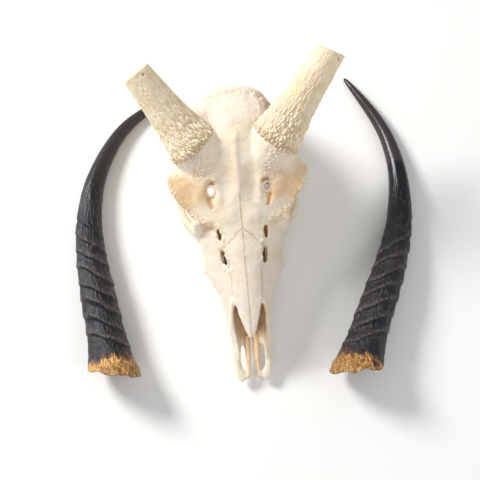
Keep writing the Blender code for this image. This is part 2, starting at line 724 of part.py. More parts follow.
def ring_swell(s):
    """Height of the ridges at a distance from the base: a steep edge towards the base, fading to the tip."""
    turns = (s - RINGS_FROM) / RING_PITCH
    if not 0.0 < turns < RING_COUNT:
        return 0.0
    phase = turns % 1.0
    rise = phase / RING_EDGE if phase < RING_EDGE else (1.0 - phase) / (1.0 - RING_EDGE)
    return RING_RISE * rise ** 1.2 * min(1.0, 4.0 * (1.0 - turns / RING_COUNT))


def sheath_ring(rows, side, s, thinner, ridged):
    """One ring of points: leaning across the horn, overhanging at its top and thinner than its outside."""
    length = rows[-1, 0]
    near_base = max(0.0, 1.0 - s / RINGS_FROM)
    lean = side * RING_SLANTS[side] * min(1.0, (length - s) / TIP_TAPER)
    middle = sheath_radius(max(s, 0.0) / length) * SHEATH_HEIGHT
    ring = []
    for k in range(SHEATH_SIDES):
        angle = 2 * math.pi * k / SHEATH_SIDES
        here = s + lean * math.cos(angle) - BASE_OVERHANG * near_base * math.sin(angle)
        here = min(here, length)
        x, y, turn = sheath_centre(rows, here)
        outer = sheath_radius(max(here, 0.0) / length) + (ring_swell(s) if ridged else 0.0)
        radius = max(outer - thinner, THINNEST)
        out = radius * math.cos(angle)
        ring.append((x + out * math.cos(turn), y - out * math.sin(turn),
                     middle + radius * math.sin(angle) * SHEATH_HEIGHT))
    return ring


def sheath(name, side):
    """Horn sheath from its tip over its ringed outside to the base, and up its hollow inside."""
    rows = sheath_path(side)
    length = rows[-1, 0]
    rings_end = RINGS_FROM + RING_PITCH * RING_COUNT
    ridges = []
    for k in range(RING_COUNT):
        start = RINGS_FROM + RING_PITCH * k
        ridges += [start + RING_PITCH * share for share in (0.0, RING_EDGE, 0.6)]
    outside = [0.0, 5.0, 12.0, 20.0] + ridges + list(np.linspace(rings_end, length, 12))
    inside = [0.0, 14.0, 40.0, 70.0, 100.0, 130.0, SHEATH_HOLLOW]
    rings = [sheath_ring(rows, side, s, 0.0, True) for s in outside[::-1]]
    for s in inside:
        closing = 1.0 if s < SHEATH_HOLLOW else 2.0
        rings.append(sheath_ring(rows, side, s, SHEATH_WALL * closing, False))
    return loft(name, rings, PARTS)


# Everything in its place on the floor

def lowest(pieces, matrix):
    return min((matrix @ v.co).z for piece in pieces for v in piece.data.vertices)


def flat_foot(piece, place, facing):
    """Plane off what would reach through the floor, and keep the largest surface."""
    trimmed(piece, PARTS, (place, facing))
    return largest(piece)


def lie_down(name, pieces, tip):
    """Parent pieces to an empty that tips them and sets their lowest points, planed flat, on the floor."""
    holder = bpy.data.objects.new(name, None)
    PARTS.objects.link(holder)
    turn = Matrix.Rotation(tip, 4, "X")
    lift = -lowest(pieces, turn) / MM - FLOOR_FLAT
    floor_place = turn.inverted() @ Vector((0.0, 0.0, -lift))
    floor_facing = turn.inverted() @ Vector((0.0, 0.0, -1.0))
    for piece in pieces:
        if lowest([piece], turn) / MM + lift < -0.01:
            flat_foot(piece, floor_place, floor_facing)
        piece.parent = holder
    holder.rotation_euler = (tip, 0.0, 0.0)
    holder.location = (0.0, 0.0, lift * MM)
    return holder


def centre_on_origin(holders):
    """Move the empties so that the middle of the whole model's floor box is at the origin."""
    bpy.context.view_layer.update()
    points = [piece.matrix_world @ v.co for holder in holders for piece in holder.children
              for v in piece.data.vertices]
    for axis in (0, 1):
        middle = (min(p[axis] for p in points) + max(p[axis] for p in points)) / 2
        for holder in holders:
            holder.location[axis] -= middle


def finish(piece, name, colour, roughness):
    piece.name = name
    piece.data.name = name
    piece.data.materials.clear()
    piece.data.materials.append(material(name, colour, roughness))
    piece.data.shade_smooth()
    piece.data.set_sharp_from_angle(angle=math.radians(40))


bones = split_skull(skull_body())
for side, hand in ((1, "right"), (-1, "left")):
    tooth_row(side)
    combine(bones["maxilla_" + hand], WORK, "UNION")
    largest(bones["maxilla_" + hand])
    bones["horn_core_" + hand] = core_piece("horn_core_" + hand, side, 0.0, GAP / 2, PARTS)
sheaths = {"horn_sheath_" + hand: sheath("horn_sheath_" + hand, side)
           for side, hand in ((1, "right"), (-1, "left"))}
skull_lie = lie_down("skull_lie", list(bones.values()), FACE_SLOPE)
sheath_lie = lie_down("sheath_lie", list(sheaths.values()), 0.0)
centre_on_origin([skull_lie, sheath_lie])
for name, piece in bones.items():
    finish(piece, name, BONE_WARM if "frontal" in name else BONE, 0.55)
for name, piece in sheaths.items():
    finish(piece, name, HORN, 0.38)
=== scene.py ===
# %% [markdown]
# A reedbuck skull and its two loose horn sheaths, dressed in Blender
#
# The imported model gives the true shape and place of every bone, but coarsely, in flat facets.  This
# lesson turns it into dry bone and black horn: the skull gets one fine skin that is shared out among its
# bones, the sawn horn cores get their beads and grooves, and the sheaths get their rings, fibres and
# ragged golden rims.  Soft light and a camera above the face finish the picture.

# %% Load the frame and keep its box
import json
import math

import bpy
import numpy as np
from mathutils import Matrix, Vector
from mathutils.bvhtree import BVHTree


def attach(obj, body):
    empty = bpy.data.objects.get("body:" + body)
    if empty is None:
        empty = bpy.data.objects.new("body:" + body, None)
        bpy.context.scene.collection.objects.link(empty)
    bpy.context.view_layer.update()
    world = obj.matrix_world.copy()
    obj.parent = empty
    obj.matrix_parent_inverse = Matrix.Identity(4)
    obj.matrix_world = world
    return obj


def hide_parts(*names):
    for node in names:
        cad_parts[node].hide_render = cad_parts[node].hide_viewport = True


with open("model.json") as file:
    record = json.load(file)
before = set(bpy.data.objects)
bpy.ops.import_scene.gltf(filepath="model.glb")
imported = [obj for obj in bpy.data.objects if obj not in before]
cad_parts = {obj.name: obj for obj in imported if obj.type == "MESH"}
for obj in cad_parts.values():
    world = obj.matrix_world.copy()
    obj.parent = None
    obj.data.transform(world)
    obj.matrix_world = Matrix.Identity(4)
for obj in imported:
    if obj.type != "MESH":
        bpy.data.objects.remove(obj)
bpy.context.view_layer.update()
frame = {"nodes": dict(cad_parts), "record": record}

# %% [markdown]
# The skull lies tipped on the floor, but every detail of it is easier to place in the skull's own
# axes, in millimetres: x to its side, y back along the face from the muzzle's tip, and z out of the
# face.  The frame states where the right horn core is sawn off, so the skull's origin is worked out
# from that one point, and nothing here has to be moved by hand when the frame is packed again.

# %% The skull's own axes
MM = 0.001
FACE_SLOPE = math.radians(18.0)
CORE_BASE = np.array([37.0, 214.5, -1.0])
CORE_ENDS = {1: np.array([89.3, 284.2, 19.0]), -1: np.array([80.5, 278.9, 19.0])}
tip_turn = np.array(Matrix.Rotation(FACE_SLOPE, 3, "X"))
sawn_end = np.array(frame["record"]["mounts"][0]["pos_m"])
skull_origin = sawn_end - tip_turn @ (CORE_ENDS[1] * MM)


def to_world(places):
    """Places in the skull's millimetres, as an array in the frame's metres."""
    return np.asarray(places, float) * MM @ tip_turn.T + skull_origin


def to_skull(points):
    """Points in the frame's metres, as an array in the skull's millimetres."""
    return (np.asarray(points, float) - skull_origin) @ tip_turn / MM


print("skull origin in millimetres", np.round(skull_origin / MM, 2))

# %% [markdown]
# Bone is never smooth for long: it is pitted, grooved and beaded.  A bump map would only shade such
# relief, and its outline would stay straight, so the larger relief goes into the mesh.  Two classic
# noises are written with numpy, which works on a whole mesh at once.  The first is gradient noise, soft
# and cloudy.  The second compares the distances to the two nearest of many scattered points, which
# gives rounded beads with sharp furrows between them, just like the bone round a horn's root.

# %% Cloudy noise, beads and blends
def hashed(cells, seed):
    """Steady pseudo-random numbers from 0 to 1 for whole-number places, three for each."""
    key = cells.astype(np.int64) @ np.array([73856093, 19349663, 83492791]) + seed * 9176213
    out = []
    for turn in (1, 2, 3):
        mixed = (key * (2654435761 + 97 * turn)) & 0xFFFFFFFF
        mixed = ((mixed ^ (mixed >> 15)) * 2246822519) & 0xFFFFFFFF
        mixed = ((mixed ^ (mixed >> 13)) * 3266489917) & 0xFFFFFFFF
        out.append(((mixed ^ (mixed >> 16)) & 0xFFFFFF) / float(0x1000000))
    return np.stack(out, axis=-1)


def clouds(places, size, seed=0, octaves=1):
    """Gradient noise between about -1 and 1, with features as large as size."""
    total = np.zeros(len(places))
    strength = 1.0
    for octave in range(octaves):
        place = places / (size / 2 ** octave)
        corner = np.floor(place)
        inside = place - corner
        fade = inside ** 3 * (inside * (inside * 6 - 15) + 10)
        value = np.zeros(len(places))
        for step in np.ndindex(2, 2, 2):
            step = np.array(step)
            slope = hashed(corner + step, seed + octave) * 2 - 1
            weight = np.prod(np.where(step == 1, fade, 1 - fade), axis=1)
            value += weight * np.sum(slope * (inside - step), axis=1)
        total += strength * value * 1.6
        strength *= 0.5
    return total


def beads(places, size, seed=0):
    """Rounded bumps, 1 on top of each and 0 in the furrows between them."""
    place = places / size
    corner = np.floor(place)
    nearest = np.full(len(places), 9.0)
    second = np.full(len(places), 9.0)
    for step in np.ndindex(3, 3, 3):
        cell = corner + (np.array(step) - 1)
        away = np.linalg.norm(cell + hashed(cell, seed) - place, axis=1)
        second = np.minimum(second, np.maximum(nearest, away))
        nearest = np.minimum(nearest, away)
    return np.clip((second - nearest) * 1.7, 0.0, 1.0) ** 0.6


def ramp(values, low, high):
    """0 below low, 1 above high and an even S curve between."""
    share = np.clip((values - low) / (high - low), 0.0, 1.0)
    return share * share * (3 - 2 * share)


def between(values, rise, fall):
    """1 between a rise and a fall, each given by its two ends."""
    return ramp(values, *rise) * (1.0 - ramp(values, *fall))


def only_where(mask, maker):
    """Work out a costly pattern only for the points whose mask is above nothing."""
    out = np.zeros(len(mask))
    chosen = mask > 0.01
    if chosen.any():
        out[chosen] = maker(chosen)
    return out * mask


# %% [markdown]
# Blender's mesh data is read and written as flat arrays.  Averaging along the edges is the other tool
# that everything here leans on: it takes the facets out of a shape, and it softens any value, such as a
# shadow in a hollow, that is stored on the points.

# %% Reading, writing and averaging meshes
def get_array(mesh, what):
    values = np.zeros(len(mesh.vertices) * 3)
    mesh.vertices.foreach_get(what, values)
    return values.reshape(-1, 3)


def set_points(mesh, points):
    mesh.vertices.foreach_set("co", np.ascontiguousarray(points, dtype=np.float32).ravel())
    mesh.update()


def set_layer(mesh, name, values):
    layer = mesh.attributes.get(name) or mesh.attributes.new(name, "FLOAT", "POINT")
    layer.data.foreach_set("value", np.ascontiguousarray(np.clip(values, 0, 1), dtype=np.float32))


def average(mesh, values, rounds, share=0.55):
    """Average places or values along the edges of a mesh."""
    edges = np.zeros(len(mesh.edges) * 2, dtype=np.int64)
    mesh.edges.foreach_get("vertices", edges)
    edges = edges.reshape(-1, 2)
    count = np.maximum(np.bincount(edges.ravel(), minlength=len(values)), 1).astype(float)
    table = values.reshape(len(values), -1).copy()
    for _ in range(rounds):
        for axis in range(table.shape[1]):
            column = table[:, axis]
            total = np.bincount(edges[:, 0], column[edges[:, 1]], len(values))
            total += np.bincount(edges[:, 1], column[edges[:, 0]], len(values))
            table[:, axis] = column + (total / count - column) * share
    return table.reshape(values.shape)


def object_of(name, points, faces):
    mesh = bpy.data.meshes.new(name)
    mesh.from_pydata([tuple(p) for p in points], [], faces)
    made = bpy.data.objects.new(name, mesh)
    bpy.context.scene.collection.objects.link(made)
    return made


def apply_modifiers(piece):
    shown = piece.evaluated_get(bpy.context.evaluated_depsgraph_get())
    piece_mesh = bpy.data.meshes.new_from_object(shown)
    piece.modifiers.clear()
    piece.data = piece_mesh
    return piece


# %% [markdown]
# On a real skull the bones have grown together, and only fine, wandering sutures show where they
# meet.  The frame keeps a hair's gap between its bones, which would look like a saw cut.  So the bones are
# swelled a little until they touch, skinned together by the Remesh modifier, and smoothed as one surface.
# Each face of that skin is later given back to the bone it lies on, so every bone is still a piece of its
# own, and neighbours share the very same edge.

# %% One fine skin over all the bones of the skull
SKULL_BONES = [name for name in frame["nodes"] if "horn" not in name]
SWELL = 0.22
SKIN_VOXEL = 0.72
SKIN_ROUNDS = 9


def joined_nodes(names, swell):
    """Points and triangles of several nodes, moved out along their normals by swell millimetres, and
    for every triangle the number of its node."""
    points, faces, owners = [], [], []
    for number, name in enumerate(names):
        mesh = frame["nodes"][name].data
        mesh.calc_loop_triangles()
        start = len(points)
        places = get_array(mesh, "co") + get_array(mesh, "normal") * swell * MM
        points += [Vector(p) for p in places]
        faces += [tuple(start + v for v in t.vertices) for t in mesh.loop_triangles]
        owners += [number] * len(mesh.loop_triangles)
    return points, faces, owners


def skinned(name, names, voxel, swell):
    points, faces, _ = joined_nodes(names, swell)
    piece = object_of(name, points, faces)
    weld = piece.modifiers.new("weld", "WELD")
    weld.merge_threshold = 0.00001
    skin = piece.modifiers.new("skin", "REMESH")
    skin.mode = "VOXEL"
    skin.voxel_size = voxel * MM
    return apply_modifiers(piece)


skull = skinned("skull_skin", SKULL_BONES, SKIN_VOXEL, SWELL)
set_points(skull.data, average(skull.data, get_array(skull.data, "co"), SKIN_ROUNDS))
print("skull skin points", len(skull.data.vertices))

# %% [markdown]
# Before any relief is added, each point of the skin is told how closed in it is: short rays are sent
# out over it, and those that meet bone are counted.  The count is used to paint brown shade where light
# hardly reaches, such as down the nose and in the slits before the eyes.

# %% How closed in each point is
LOOKS = [Vector(v).normalized() for v in
         ((0, 0, 1), (0.8, 0, 0.6), (-0.8, 0, 0.6), (0, 0.8, 0.6), (0, -0.8, 0.6))]
REACH = 0.026
bone_points, bone_faces, bone_owners = joined_nodes(SKULL_BONES, 0.0)
bone_tree = BVHTree.FromPolygons(bone_points, bone_faces)


def closed_in(points, normals):
    """Share of the rays from each point that meet bone within reach."""
    blocked = np.zeros(len(points))
    for k, (point, normal) in enumerate(zip(points, normals)):
        out = Vector(normal)
        turn = out.to_track_quat("Z", "Y")
        start = Vector(point) + out * 0.0015
        for look in LOOKS:
            if bone_tree.ray_cast(start, turn @ look, REACH)[0] is not None:
                blocked[k] += 1.0
    return blocked / len(LOOKS)


skull_points = get_array(skull.data, "co")
skull_normals = get_array(skull.data, "normal")
closed = average(skull.data, closed_in(skull_points, skull_normals), 3)
print("closed in, on average", round(float(closed.mean()), 3))

# %% [markdown]
# Now the landmarks.  Each is a bent line of (x, y) points, seen from the front in the skull's own
# millimetres: the eye rims, the edge of the nape, the groove below each hole in the forehead, the slits
# before the eyes, and the sutures where two bones meet.  Most are given on the right and mirrored, and
# because they are named once, the relief and the colours can share them.

# %% Lines on the skull
RIM = ((63, 186), (62, 181), (58.5, 173), (52, 163.5), (44.5, 154.5), (36.5, 147), (29.5, 144))
NAPE = ((0, 262), (12, 261), (24, 256.5), (33, 250), (36.5, 243))
GROOVE = ((27.5, 165), (26.5, 161), (25.0, 157.5))
FISSURE = ((21.5, 140), (18.5, 120), (16.5, 104))
SLIVER = ((-17.0, 115), (-18.0, 109), (-18.8, 102))
SCAR = ((20, 262), (29, 256), (37, 237))
MIDLINE = ((0, 40), (0, 137), (0, 168))
NASAL_ROOT = ((0, 137), (3, 136.2), (6, 133.5), (8.5, 130), (11, 128), (13.5, 125), (16, 123.3), (18, 122))
NASAL_SIDE = ((17.2, 121), (17.0, 117), (13.6, 95), (12.7, 78))
LACRIMAL = ((18, 122), (21, 127), (21, 138), (30, 144.5))
CORONAL = ((0, 229), (8, 229.6), (16, 228.5), (24, 229))
print("the eye rim runs from", RIM[0], "to", RIM[-1])

# %% [markdown]
# Marks are laid on the skin with two shapes.  A patch is a soft-edged oval, and a band follows one of
# the lines.  Both give every point of the skin a share from 0 to 1, which can be a height as well as the
# strength of a colour.  That is quicker to change than a sculpted mesh or a painted picture.

# %% Patches and bands
def mirrored(places):
    """The same places with the left side folded over to the right."""
    return np.column_stack([np.abs(places[:, 0]), places[:, 1], places[:, 2]])


def patch(places, centre, reach):
    """1 in the middle of a soft oval, 0 from its reach on."""
    away = np.linalg.norm((places - centre) / reach, axis=1)
    return 1.0 - ramp(away, 0.15, 1.0)


def band(places, path, full, gone):
    """1 within full millimetres of a path, seen from the front, and 0 from gone millimetres on."""
    best = np.full(len(places), np.inf)
    for a, b in zip(path[:-1], path[1:]):
        a, b = np.array(a, float), np.array(b, float)
        along = b - a
        share = np.clip(((places[:, :2] - a) @ along) / (along @ along), 0, 1)
        best = np.minimum(best, np.linalg.norm(places[:, :2] - a - share[:, None] * along, axis=1))
    return 1.0 - ramp(best, full, gone)


places = to_skull(skull_points)
folded = mirrored(places)
outward = skull_normals @ tip_turn
face_up = ramp(outward[:, 2], 0.15, 0.6)
top_side = ramp(places[:, 2], -16, -10) * ramp(outward[:, 2], -0.2, 0.2)
print("points that face up", int((face_up > 0.5).sum()))

# %% [markdown]
# Large forms first.  A low ridge runs down the middle of the forehead with a shallow hollow on each
# side of it, there is a dent before each eye socket, and the roofs of the sockets are a little dished.
# Each is an oval with a height in millimetres, so a list holds them and one loop adds them up.

# %% Broad forms of the forehead
BROAD_FORMS = (("hollow beside the ridge", (12, 179, 4), (10, 22, 16), -3.0),
               ("hollow round the brow hole", (25, 170, 4), (9, 14, 14), -2.6),
               ("dent before the eye socket", (31, 139, -2), (9, 5.5, 12), -1.6),
               ("dish of the socket roof", (45, 172, 0), (9, 11, 14), -0.8),
               ("swelling above the nose", (12, 148, 2), (12, 9, 14), 0.9))
RIDGE_WIDTH, RIDGE_HEIGHT, RIDGE_WANDER = 3.2, 1.6, 0.8
RIDGE_RISE, RIDGE_FALL = (160, 174), (214, 228)

ridge_away = places[:, 0] + RIDGE_WANDER * clouds(places, 12.0, 18)
ridge = np.exp(-(ridge_away / RIDGE_WIDTH) ** 2) * between(places[:, 1], RIDGE_RISE, RIDGE_FALL)
relief = RIDGE_HEIGHT * ridge
for form, centre, reach, height in BROAD_FORMS:
    relief += height * patch(folded, centre, reach) * face_up
    print(form, height, "mm")

# %% [markdown]
# Next the places where the bone is rough.  Beads crowd along the eye rims and towards the roots of the
# horns, where tough skin once held on.  A pit lies above each hole in the forehead and a groove below it,
# and the nape and the edges of the slits are ragged.  Only masks are made here; the relief and the
# colours below both use them.

# %% Where the skull is rough
BROW_PIT = ((24.0, 178.2, 2), (5.6, 3.8, 16))
SOCKET_ROOF = ((45, 172, 0), (21, 24, 20))
HORN_ROOTS = (((38, 201, 12), (17, 10, 22), 1.0), ((30, 190, 6), (13, 15, 14), 0.85),
              ((25, 181, 4), (9, 8, 12), 0.7))
CALM_BY_SLIVER = ((-18, 107, 0), (5, 11, 20))
MUZZLE_RODS_END, MUZZLE_RODS_SIDE = (40, 46), (6.0, 7.5)
BRAINCASE_FROM = (224, 236)

rim = band(folded, RIM, 1.2, 6.0) * top_side
roots = [full * patch(folded, centre, reach) for centre, reach, full in HORN_ROOTS]
horn_root = np.max(roots, axis=0) * face_up
nape = band(folded, NAPE, 0.8, 5.5) * ramp(outward[:, 1], -0.2, 0.3)
groove = band(folded, GROOVE, 0.5, 2.6) * face_up
brow_pit = patch(folded, *BROW_PIT) * face_up
fissure = band(folded, FISSURE, 2.0, 6.5) * top_side * (1.0 - 0.8 * patch(places, *CALM_BY_SLIVER))
sliver = band(places, SLIVER, 0.5, 1.7) * top_side
scar = band(places, SCAR, 1.0, 6.0) * ramp(outward[:, 2], -0.3, 0.1)
rods = (1 - ramp(places[:, 1], *MUZZLE_RODS_END)) * (1 - ramp(folded[:, 0], *MUZZLE_RODS_SIDE))
print("points on beaded bone", int((np.maximum(rim, horn_root) > 0.5).sum()))

# %% [markdown]
# Now the fine relief.  The beads come from the second noise, at places that the first one has bent, so
# that they don't stand in rows.  A faint cloudy relief runs over everything, and because it depends only
# on the place, it passes from bone to bone without a step.  Last, nothing may sink through the floor that
# the skull rests on.

# %% Fine relief of the skull
RIM_BEAD, ROOT_BEAD = 2.5, 3.1

rim_beads = only_where(rim, lambda c: beads(places[c] + clouds(places[c], 5.0, 13)[:, None], RIM_BEAD, 11))
root_beads = only_where(horn_root,
                        lambda c: beads(places[c] + clouds(places[c], 6.0, 14)[:, None], ROOT_BEAD, 12))
small_relief = clouds(places, 4.0, 5, 2)
fibres = clouds(places * [1.0, 0.25, 1.0], 1.6, 9, 1)

relief += 0.7 * rim + 1.25 * rim_beads
relief += 1.5 * root_beads - 0.5 * horn_root
relief += 0.9 * sliver + 0.35 * rods - 1.3 * groove - 2.4 * brow_pit
relief += only_where(nape, lambda c: 0.6 * clouds(places[c], 3.0, 15, 2))
relief += only_where(fissure, lambda c: 1.2 * clouds(places[c], 5.5, 16, 2))
relief += only_where(scar, lambda c: 0.9 * clouds(places[c], 2.6, 17, 3))
relief += only_where(ramp(places[:, 1], *BRAINCASE_FROM), lambda c: 0.35 * clouds(places[c], 7.0, 6, 3))
relief += 0.45 * clouds(places, 15.0, 3, 2) + 0.13 * small_relief
relief += 0.07 * fibres * (1 - ramp(places[:, 1], 60, 140))
carved = skull_points + skull_normals * (relief * MM)[:, None]
carved[:, 2] = np.maximum(carved[:, 2], 0.0)
set_points(skull.data, carved)
print("relief from", round(float(relief.min()), 2), "to", round(float(relief.max()), 2), "mm")

# %% [markdown]
# The sutures are thin brown lines that wander like the coast on a map.  Drawing every bend would be
# slow, so each follows a simple line, and the distance to it is measured from places that a fine noise
# has shifted.  Some sutures wander more than others, and some are almost healed.

# %% Sutures and the scar line
SUTURES = ((MIDLINE, 0.35, 1.0), (NASAL_ROOT, 1.1, 0.9), (NASAL_SIDE, 0.5, 0.55), (LACRIMAL, 1.2, 0.45),
           (CORONAL, 1.2, 0.3))
SCAR_WANDER, SCAR_LINE = 2.2, 0.5

shift = np.column_stack([clouds(places, 3.2, 21, 2), clouds(places, 3.2, 22, 2), np.zeros(len(places))])
suture = np.zeros(len(places))
for path, wander, strength in SUTURES:
    suture = np.maximum(suture, strength * band(mirrored(places + wander * shift), path, 0.15, 0.95))
suture *= top_side * (0.75 + 0.4 * clouds(places, 9.0, 23, 2))
scar_line = SCAR_LINE * scar * band(places + SCAR_WANDER * shift, SCAR, 0.3, 1.5)
suture = np.maximum(suture, scar_line)
print("points on a suture", int((suture > 0.3).sum()))

# %% [markdown]
# Old bone is stained where it was thin or greasy.  The roofs of the eye sockets are orange-tan, there
# is more tan in the nose, at the slits and down the muzzle's two rods, and a faint mottle lies over the
# face.  The tan patch before each eye socket is painted shade, where the eye rim's shadow falls.  Again
# these are ovals with a strength, and a cloudy noise breaks up their edges.

# %% Warm stains, and painted shade before the eye sockets
BY_HOLE, ROUND_HOLE = ((29, 168, 2), (10, 14, 12)), ((25, 171, 2), (6, 9, 12))
# Painted shade: a tan patch before each eye socket, where the rim's shadow falls.
BEFORE_SOCKET_SHADE = ((30, 139, -2), (8, 5, 12))
SOCKET_FLOOR, SOCKET_BACK = ((52, 153, -22), (15, 26, 26)), ((56, 186, 0), (9, 13, 16))
SLIT, NOSE = ((18.3, 117, 0), (4.4, 9, 14)), ((8, 60, -16), (16, 52, 28))
CREST_X, CREST_WIDTH = -2.0, 3.0

mottle = clouds(places, 7.0, 31, 3)
crest = np.exp(-((places[:, 0] - CREST_X) / CREST_WIDTH) ** 2)
furrows = np.maximum(rim * ramp(0.55 - rim_beads, 0.0, 0.5), horn_root * ramp(0.45 - root_beads, 0.0, 0.5))

stain_and_shade = patch(folded, *SOCKET_ROOF) * (0.95 + 0.5 * mottle) + 0.75 * patch(folded, *BY_HOLE)
stain_and_shade *= (1.0 - 0.5 * rim) * face_up
# Before the socket the tan is painted shade; round the brow hole the tan is the bone's own colour.
stain_and_shade += (0.5 * patch(folded, *BEFORE_SOCKET_SHADE) + 0.6 * patch(folded, *ROUND_HOLE)) * face_up
stain_and_shade += 0.8 * groove + 0.6 * rods + 0.7 * furrows
stain_and_shade += 0.8 * patch(folded, *SOCKET_FLOOR) * ramp(mottle, -0.9, 0.2)
stain_and_shade += 0.6 * patch(folded, *SOCKET_BACK) + 0.65 * patch(folded, *SLIT)
stain_and_shade += 1.1 * patch(folded, *NOSE) * ramp(closed, 0.1, 0.4)
stain_and_shade += 0.3 * crest * between(places[:, 1], (165, 182), (218, 230))
stain_and_shade += 0.22 * ramp(mottle, 0.25, 0.8) * between(places[:, 1], (120, 150), (225, 240))
stain_and_shade += 0.28 * ramp(-small_relief, 0.15, 0.9)
stain_and_shade += 0.25 * nape * ramp(clouds(places, 4.0, 33, 2), -0.2, 0.4)
print("stained", round(float(np.clip(stain_and_shade, 0, 1).mean()), 3))

# %% [markdown]
# The other marks: brown painted shade in every hollow that light hardly reaches, more painted shade
# under the left eye rim, a darker rough band along the scar, lighter tops on the beads, a pale sliver by
# the left slit, a breath of pink on the braincase and the muzzle, and the enamel of the cheek teeth below
# the sloping line of the gum.  All of them are stored on the points, each under a name that the material
# reads.

# %% Painted shade in hollows, lighter places, pink bone and teeth
# Painted shade: a darker patch under the left eye rim, on that side only.
LEFT_RIM_SHADE = ((-31.5, 139.5, -4), (8, 6, 12))
PINK_FACE = (105, 150)
BRAINCASE_PINK = (224, 234)
GUM_HEIGHT, FIRST_TOOTH_Y = -44.5, 89.0
TOOTH_FALL = (66.0 - 43.0) / (161.0 - FIRST_TOOTH_Y)
TOOTH_ROW, TOOTH_ROW_SIDE = ((80, 86), (166, 172)), (13.5, 15.0)

# The hollow layer is painted shade where the rays meet bone, in the furrows between beads, in the groove
# and pit by each brow hole and under the left rim; along the scar it adds the rough bone's darker colour.
hollow = ramp(closed, 0.38, 0.95) + 0.28 * furrows + 0.6 * groove
hollow += 1.2 * brow_pit * ramp(clouds(places, 3.0, 35), -0.8, 0.0)
hollow += 0.4 * patch(places, *LEFT_RIM_SHADE) * face_up
hollow += 0.5 * scar * ramp(clouds(places, 3.0, 36, 2), -0.3, 0.4)
pale = 0.9 * sliver + 0.35 * rim * ramp(rim_beads, 0.3, 0.8) + 0.4 * horn_root * ramp(root_beads, 0.3, 0.8)
pink = ramp(places[:, 1], *BRAINCASE_PINK) + 0.6 * (1 - ramp(places[:, 1], *PINK_FACE))
pink *= 0.7 + 0.5 * clouds(places, 11.0, 37, 3)
gum = GUM_HEIGHT - TOOTH_FALL * (places[:, 1] - FIRST_TOOTH_Y)
tooth = between(places[:, 1], *TOOTH_ROW) * ramp(folded[:, 0], *TOOTH_ROW_SIDE)
tooth *= ramp(gum - places[:, 2], 0.5, 3.0)
SKULL_LAYERS = {"stain_and_shade": stain_and_shade, "hollow": hollow, "suture": suture,
                "pale": pale, "pink": pink, "tooth": tooth}
for layer_name, values in SKULL_LAYERS.items():
    set_layer(skull.data, layer_name, values)
print("points on teeth", int((tooth > 0.5).sum()))

# %% [markdown]
# A material for bone, cores and teeth alike.  It starts from cream and lets two noises carry it
# towards warmer and cooler tones, then lays the stored stains, marks and painted shade over it one by one.
# A little light passes into real bone and softens its shadows, so the shader has some subsurface
# scattering.  Pores and scratches too small for the mesh are left to a bump.

# %% Bone material
def node_adder(made):
    """A function that adds one node, with its sockets linked or set."""
    def add(kind, links=(), sockets=(), **settings):
        node = made.node_tree.nodes.new(kind)
        for key, value in settings.items():
            setattr(node, key, value)
        for key, value in sockets:
            node.inputs[key].default_value = value
        for key, source in links:
            made.node_tree.links.new(source, node.inputs[key])
        return node

    return add


def mapped(add, source, low, high, top=1.0):
    node = add("ShaderNodeMapRange", [("Value", source)],
               [("From Min", low), ("From Max", high), ("To Max", top)])
    return node.outputs["Result"]


def lay_over(add, below, tint, amount):
    """One colour over another by an amount that a node gives: inputs 6 and 7 are the two colours."""
    return add("ShaderNodeMix", [(6, below), (0, amount)], [(7, (*tint, 1.0))], data_type="RGBA").outputs[2]


# The hollow layer lays brown painted shade, and the stains also carry the painted shade before each eye
# socket.
BONE_LAYERS = (("pink", (0.82, 0.71, 0.67), 0.6), ("stain_and_shade", (0.80, 0.51, 0.25), 0.85),
               ("suture", (0.40, 0.24, 0.10), 0.75), ("pale", (0.95, 0.90, 0.79), 0.8),
               ("tooth", (0.80, 0.72, 0.56), 0.85), ("hollow", None, 0.85))
DEEPER = 0.80


def bone_material(name, base, warm, dark, grain_scale):
    made = bpy.data.materials.new(name)
    made.use_nodes = True
    add = node_adder(made)
    shader = made.node_tree.nodes["Principled BSDF"]
    place = add("ShaderNodeTexCoord").outputs["Object"]
    broad = add("ShaderNodeTexNoise", [("Vector", place)],
                [("Scale", 55.0), ("Detail", 5.0), ("Roughness", 0.6)]).outputs["Fac"]
    fine = add("ShaderNodeTexNoise", [("Vector", place)],
               [("Scale", grain_scale), ("Detail", 6.0), ("Roughness", 0.65)]).outputs["Fac"]
    pores = add("ShaderNodeTexVoronoi", [("Vector", place)],
                [("Scale", grain_scale * 1.6)]).outputs["Distance"]
    ground = add("ShaderNodeRGB")
    ground.outputs[0].default_value = (*base, 1.0)
    colour = lay_over(add, ground.outputs[0], warm, mapped(add, broad, 0.42, 0.72, 0.75))
    colour = lay_over(add, colour, [part * DEEPER for part in warm], mapped(add, fine, 0.55, 0.85, 0.6))
    for layer_name, tint, amount in BONE_LAYERS:
        layer = add("ShaderNodeAttribute", attribute_name=layer_name).outputs["Fac"]
        colour = lay_over(add, colour, tint or dark, mapped(add, layer, 0.0, 1.0, amount))
    rough = add("ShaderNodeMath", [(0, fine)], [(1, 0.3), (2, 0.38)], operation="MULTIPLY_ADD")
    pits = add("ShaderNodeBump", [("Height", pores)], [("Strength", 0.25), ("Distance", 0.0004)])
    grain = add("ShaderNodeBump", [("Height", fine), ("Normal", pits.outputs[0])],
                [("Strength", 0.55), ("Distance", 0.0006)])
    link = made.node_tree.links.new
    link(colour, shader.inputs["Base Color"])
    link(rough.outputs[0], shader.inputs["Roughness"])
    link(grain.outputs[0], shader.inputs["Normal"])
    shader.inputs["Subsurface Weight"].default_value = 0.08
    shader.inputs["Subsurface Radius"].default_value = (0.0035, 0.002, 0.0012)
    return made


